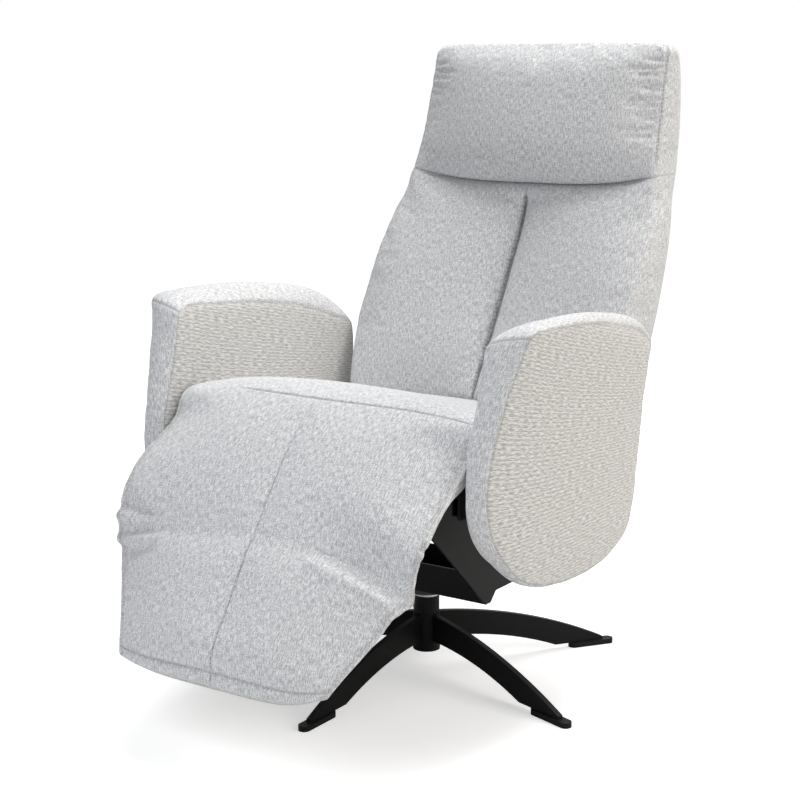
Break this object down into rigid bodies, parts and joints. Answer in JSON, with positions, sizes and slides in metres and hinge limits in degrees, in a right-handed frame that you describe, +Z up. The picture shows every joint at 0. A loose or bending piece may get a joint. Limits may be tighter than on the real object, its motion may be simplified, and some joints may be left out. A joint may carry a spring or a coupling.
{
  "type": "swivel recliner",
  "caption": "Upholstered swivel armchair with reclining back, tilting head section and folding two-part footrest on a steel star base with arched blade legs.",
  "frame": {"origin": "the point on the floor under the swivel axis", "axes": "+Z up along the swivel axis, -Y the way the sitter faces, +X to the viewer's right when seen from the front"},
  "size_m": [0.74, 1.0685, 1.08],
  "materials": {
    "upholstery": "woven grey melange",
    "webbing": "woven elastic webbing",
    "plywood": "raw plywood",
    "black_plastic": "moulded",
    "bearing_plastic": "moulded",
    "bright_steel": "polished",
    "zinc_steel": "zinc plated",
    "black_steel": "matte black powder coat"
  },
  "bodies": {
    "base": {"base_hub": "black_steel", "base_leg_1": "black_steel", "base_leg_2": "black_steel", "base_leg_3": "black_steel", "base_leg_4": "black_steel", "base_leg_5": "black_steel", "glide_1": "black_plastic", "glide_2": "black_plastic", "glide_3": "black_plastic", "glide_4": "black_plastic", "glide_5": "black_plastic", "hub_cap": "black_plastic", "column_sleeve": "black_steel", "lower_bush": "bearing_plastic", "upper_bush": "bearing_plastic", "thrust_washer": "bright_steel"},
    "chassis": {"spindle": "zinc_steel", "spindle_screw": "zinc_steel", "flange_bolt_1": "zinc_steel", "flange_bolt_2": "zinc_steel", "flange_bolt_3": "zinc_steel", "flange_bolt_4": "zinc_steel", "cradle": "black_steel", "side_plate_left": "black_steel", "side_plate_right": "black_steel", "seat_rail_left": "black_steel", "seat_rail_right": "black_steel", "front_cross_tube": "black_steel", "rear_cross_tube": "black_steel", "seat_strap_1": "webbing", "seat_strap_2": "webbing", "seat_strap_3": "webbing", "seat_cushion": "upholstery", "arm_mount_left": "black_steel", "arm_mount_right": "black_steel", "arm_board_left": "plywood", "arm_board_right": "plywood", "arm_pad_left": "upholstery", "arm_pad_right": "upholstery", "arm_bolt_1_left": "zinc_steel", "arm_bolt_1_right": "zinc_steel", "arm_bolt_2_left": "zinc_steel", "arm_bolt_2_right": "zinc_steel", "back_hinge_bracket_left": "black_steel", "back_hinge_bracket_right": "black_steel", "knee_bracket_left": "black_steel", "knee_bracket_right": "black_steel"},
    "back": {"back_board": "plywood", "back_hinge_arm_left": "black_steel", "back_hinge_arm_right": "black_steel", "head_hinge_left": "black_steel", "head_hinge_right": "black_steel", "back_cushion": "upholstery", "back_rear_pad": "upholstery"},
    "head": {"head_frame": "black_steel", "head_cushion": "upholstery"},
    "calf": {"calf_frame": "black_steel", "calf_cushion": "upholstery"},
    "flap": {"flap_frame": "black_steel", "flap_cushion": "upholstery"}
  },
  "joints": [
    {"name": "swivel", "type": "hinge", "parent": "base", "child": "chassis", "pos_m": [0, 0, 0.133], "axis": [0, 0, 1], "continuous": true},
    {"name": "back_recline", "type": "hinge", "parent": "chassis", "child": "back", "pos_m": [0, 0.17, 0.435], "axis": [-1, 0, 0], "range_deg": [-8, 27]},
    {"name": "head_tilt", "type": "hinge", "parent": "back", "child": "head", "pos_m": [0, 0.364, 0.842], "axis": [1, 0, 0], "range_deg": [0, 25]},
    {"name": "footrest_lift", "type": "hinge", "parent": "chassis", "child": "calf", "pos_m": [0, -0.303, 0.5], "axis": [-1, 0, 0], "range_deg": [-27, 36]},
    {"name": "flap_fold", "type": "hinge", "parent": "calf", "child": "flap", "pos_m": [0, -0.4643, 0.31849], "axis": [-1, 0, 0], "range_deg": [-11.2, 14.8]}
  ],
  "couplings": [
    {"joint": "flap_fold", "follows": "footrest_lift", "ratio": 0.4}
  ]
}
